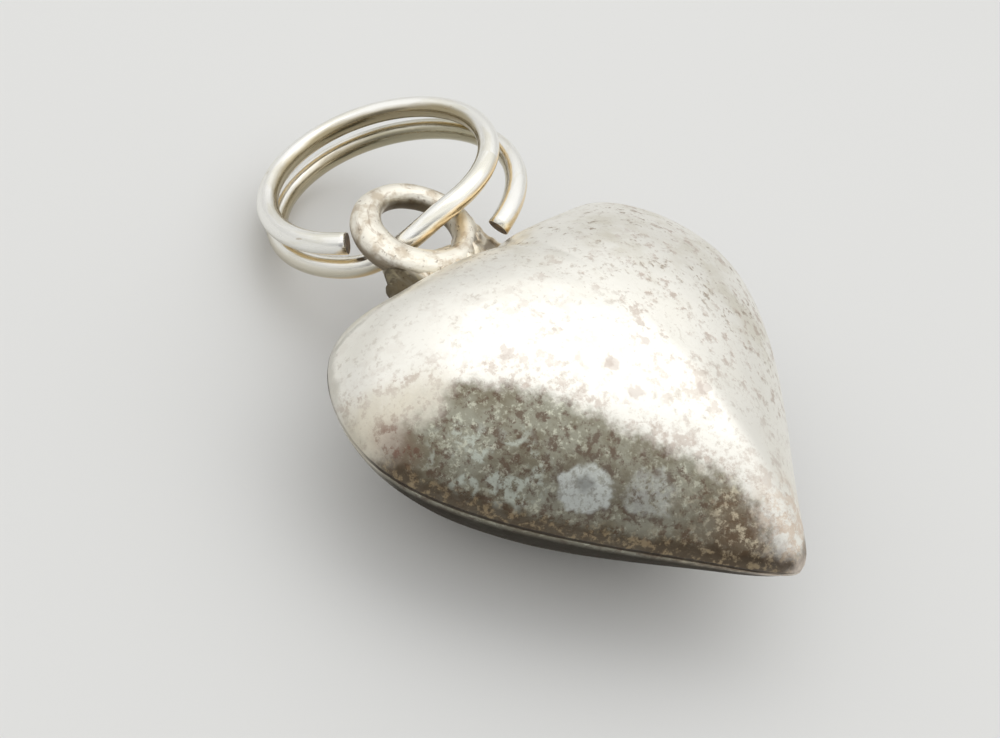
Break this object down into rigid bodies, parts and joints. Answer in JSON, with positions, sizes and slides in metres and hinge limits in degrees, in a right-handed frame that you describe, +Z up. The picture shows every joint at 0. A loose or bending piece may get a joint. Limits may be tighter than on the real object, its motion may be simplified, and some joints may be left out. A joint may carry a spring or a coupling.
{
  "type": "heart charm",
  "caption": "Puffed heart charm of oxidised silver, two domed halves joined at a seam, with a soldered wire eye and a two-turn wire ring.",
  "frame": {"origin": "middle of the charm's length and width, on the surface it lies on", "axes": "+Z up through the front dome, +Y from the tip towards the eye and ring, +X to the right of the heart seen from the front"},
  "size_m": [0.017, 0.025, 0.0081],
  "materials": {
    "heart_silver": "worn silver, mottled with brown and grey tarnish",
    "eye_silver": "tarnished silver wire, slightly rough",
    "solder": "rough silver solder, tarnished",
    "ring_silver": "bright drawn silver wire"
  },
  "bodies": {
    "charm": {"front_shell": "heart_silver", "back_shell": "heart_silver", "hanging_loop": "eye_silver", "loop_solder": "solder"},
    "ring": {"double_ring": "ring_silver"}
  },
  "joints": [
    {"name": "ring_swing", "type": "hinge", "parent": "charm", "child": "ring", "pos_m": [-0.00027, 0.00503, 0.00429], "axis": [0.6735, -0.3141, 0.6691], "range_deg": [-34, 146]}
  ]
}
